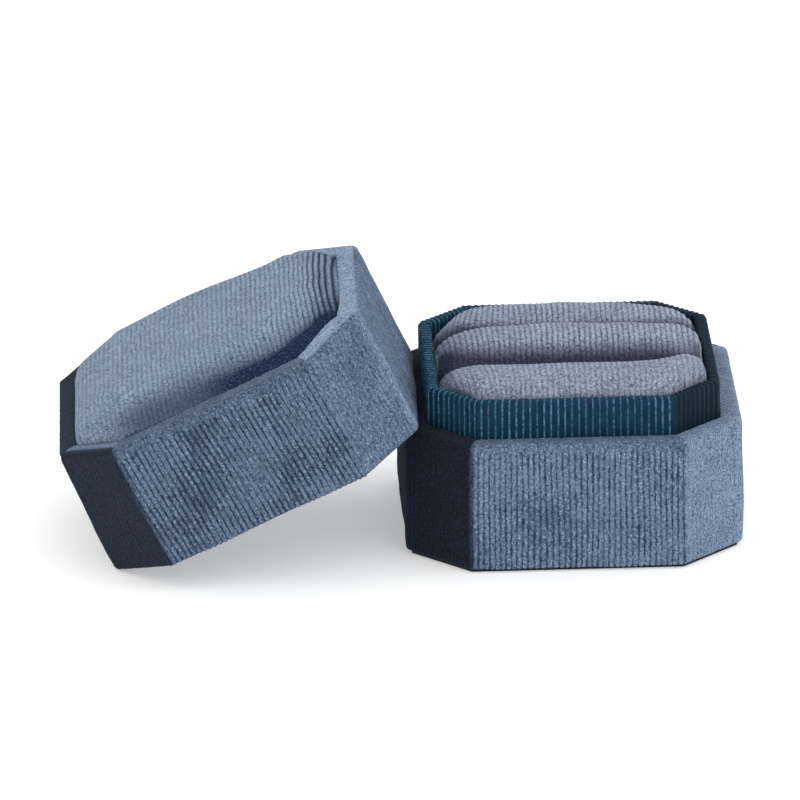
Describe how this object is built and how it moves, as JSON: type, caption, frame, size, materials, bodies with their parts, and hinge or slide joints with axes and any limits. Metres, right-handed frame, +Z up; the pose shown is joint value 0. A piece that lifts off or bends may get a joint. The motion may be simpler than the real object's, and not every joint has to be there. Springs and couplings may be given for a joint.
{
  "type": "ring box",
  "caption": "Octagonal velvet ring box for two rings: tray with a ribbon collar and a three-roll ring pad, and a loose padded lid leaning on the tray's ledge.",
  "frame": {"origin": "middle of the tray's underside, on the table", "axes": "+X towards the tray's right side, away from the leaning lid; -Y towards the front; +Z up; the ring slots run along X"},
  "size_m": [0.1015, 0.0545, 0.0392],
  "materials": {
    "outer_velvet": "ribbed velvet, dusty blue",
    "panel_velvet": "fine-ribbed velvet, light dusty blue",
    "pad_velvet": "ribbed velvet, grey-lavender blue",
    "collar_ribbon": "grosgrain ribbon, dark teal",
    "lid_lining": "satin lining, pale blue",
    "board": "grey board, matt",
    "card": "white card, matt",
    "foam": "soft foam or wadding",
    "underside_paper": "dark lining paper, matt"
  },
  "bodies": {
    "tray": {"base_wall_board": "board", "base_floor_board": "board", "base_velvet_wrap": "outer_velvet", "base_underside_sheet": "underside_paper", "collar_board": "board", "collar_ribbon": "collar_ribbon"},
    "ring_pad": {"pad_card": "card", "front_roll_foam": "foam", "front_roll_velvet": "pad_velvet", "middle_roll_foam": "foam", "middle_roll_velvet": "pad_velvet", "back_roll_foam": "foam", "back_roll_velvet": "pad_velvet"},
    "lid": {"lid_wall_board": "board", "lid_top_board": "board", "lid_side_velvet": "outer_velvet", "lid_panel_velvet": "panel_velvet", "lid_panel_foam": "foam", "lid_panel_card": "card", "lid_wall_lining": "lid_lining", "lid_lining_card": "card", "lid_lining_satin": "lid_lining"}
  },
  "joints": [
    {"name": "lid_lift", "type": "slide", "parent": "tray", "child": "lid", "axis": [0, 0, 1], "range_m": [0, 0.06]},
    {"name": "pad_lift", "type": "slide", "parent": "tray", "child": "ring_pad", "axis": [0, 0, 1], "range_m": [0, 0.03]}
  ]
}
